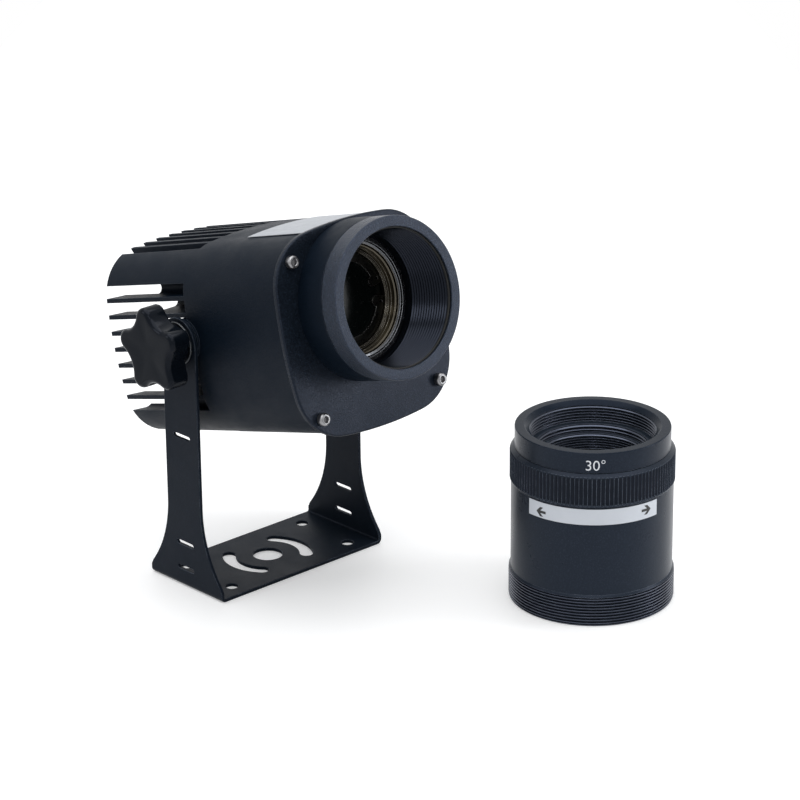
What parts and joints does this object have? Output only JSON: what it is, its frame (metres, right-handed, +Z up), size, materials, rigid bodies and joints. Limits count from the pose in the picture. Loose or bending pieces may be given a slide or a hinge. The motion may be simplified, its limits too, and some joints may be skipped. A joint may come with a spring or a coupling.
{
  "type": "gobo projector",
  "caption": "Gobo projector: finned rounded-square lamp head with a round barrel, tilting in a sheet yoke between lobed clamp knobs, its screw-in projection lens standing beside it.",
  "frame": {"origin": "on the floor, under the middle of the set's bounding box", "axes": "+Z up, -Y the way the beam leaves, +X towards the side on which the lens stands"},
  "size_m": [0.2246, 0.285, 0.2263],
  "materials": {
    "black_aluminium": "black anodised and powder coated, blue-grey sheen",
    "black_steel": "black powder coat, fine texture",
    "black_plastic": "moulded black nylon",
    "knob_plastic": "glossy moulded black",
    "rubber": "matt black rubber",
    "stainless": "turned stainless steel",
    "bare_aluminium": "bare turned aluminium",
    "label_silver": "satin silver foil, bare",
    "brass": "turned brass",
    "gobo_glass": "dark coated glass",
    "clear_glass": "polished optical glass",
    "board_white": "white circuit board",
    "emitter_yellow": "yellow phosphor",
    "driver_case": "grey potted case"
  },
  "bodies": {
    "yoke": {"yoke_bracket": "black_steel"},
    "head": {"heatsink_housing": "black_aluminium", "plate_gasket": "rubber", "front_plate": "black_aluminium", "top_label": "label_silver", "plate_screw_1": "stainless", "plate_screw_2": "stainless", "plate_screw_3": "stainless", "plate_screw_4": "stainless", "driver_box": "driver_case", "gland_body": "black_plastic", "gland_nut": "black_plastic", "gland_seal": "rubber", "barrel_base": "black_aluminium", "barrel_collar": "black_aluminium", "thread_sleeve": "black_aluminium", "mouth_o_ring": "rubber", "gobo_gate": "black_aluminium", "condenser_cell": "bare_aluminium", "condenser_lens_rear": "clear_glass", "condenser_spacer": "bare_aluminium", "condenser_lens_front": "clear_glass", "condenser_retainer": "bare_aluminium", "led_spreader": "bare_aluminium", "led_board": "board_white", "led_emitter": "emitter_yellow", "left_pivot_bush": "brass", "left_friction_washer": "rubber", "right_pivot_bush": "brass", "right_friction_washer": "rubber"},
    "left_clamp_washer": {"left_pressure_washer": "stainless"},
    "left_clamp_knob": {"left_knob": "knob_plastic", "left_knob_stud": "stainless"},
    "right_clamp_washer": {"right_pressure_washer": "stainless"},
    "right_clamp_knob": {"right_knob": "knob_plastic", "right_knob_stud": "stainless"},
    "gobo_holder": {"gobo_holder_ring": "stainless", "gobo_glass": "gobo_glass", "gobo_snap_ring": "black_steel"},
    "lens": {"lens_barrel": "black_aluminium", "lens_grip_ring": "black_aluminium", "lens_front_ring": "black_aluminium", "lens_upper_ring": "black_aluminium", "lens_lower_ring": "black_aluminium", "lens_element_front": "clear_glass", "lens_spacer": "black_aluminium", "lens_element_rear": "clear_glass", "lens_label": "label_silver"}
  },
  "joints": [
    {"name": "head_tilt", "type": "hinge", "parent": "yoke", "child": "head", "pos_m": [-0.0304, 0.06445, 0.1453], "axis": [1, 0, 0], "range_deg": [-74.5, 105.5]},
    {"name": "left_washer_slide", "type": "slide", "parent": "head", "child": "left_clamp_washer", "axis": [-1, 0, 0], "range_m": [0, 0.00375]},
    {"name": "left_knob_turn", "type": "hinge", "parent": "left_clamp_washer", "child": "left_clamp_knob", "pos_m": [-0.1054, 0.06445, 0.1453], "axis": [-1, 0, 0], "range_deg": [0, 1080.01]},
    {"name": "right_washer_slide", "type": "slide", "parent": "head", "child": "right_clamp_washer", "axis": [1, 0, 0], "range_m": [0, 0.00375]},
    {"name": "right_knob_turn", "type": "hinge", "parent": "right_clamp_washer", "child": "right_clamp_knob", "pos_m": [0.0446, 0.06445, 0.1453], "axis": [1, 0, 0], "range_deg": [0, 1080.01]},
    {"name": "gobo_slide", "type": "slide", "parent": "head", "child": "gobo_holder", "axis": [0, -0.9636, 0.2672], "range_m": [0, 0.055]},
    {"name": "lens_lift", "type": "slide", "parent": "yoke", "child": "lens", "axis": [0, 0, 1], "range_m": [0, 0.12]}
  ],
  "couplings": [
    {"joint": "left_knob_turn", "follows": "left_washer_slide", "rad_per_m": 5026.5},
    {"joint": "right_knob_turn", "follows": "right_washer_slide", "rad_per_m": 5026.5}
  ]
}
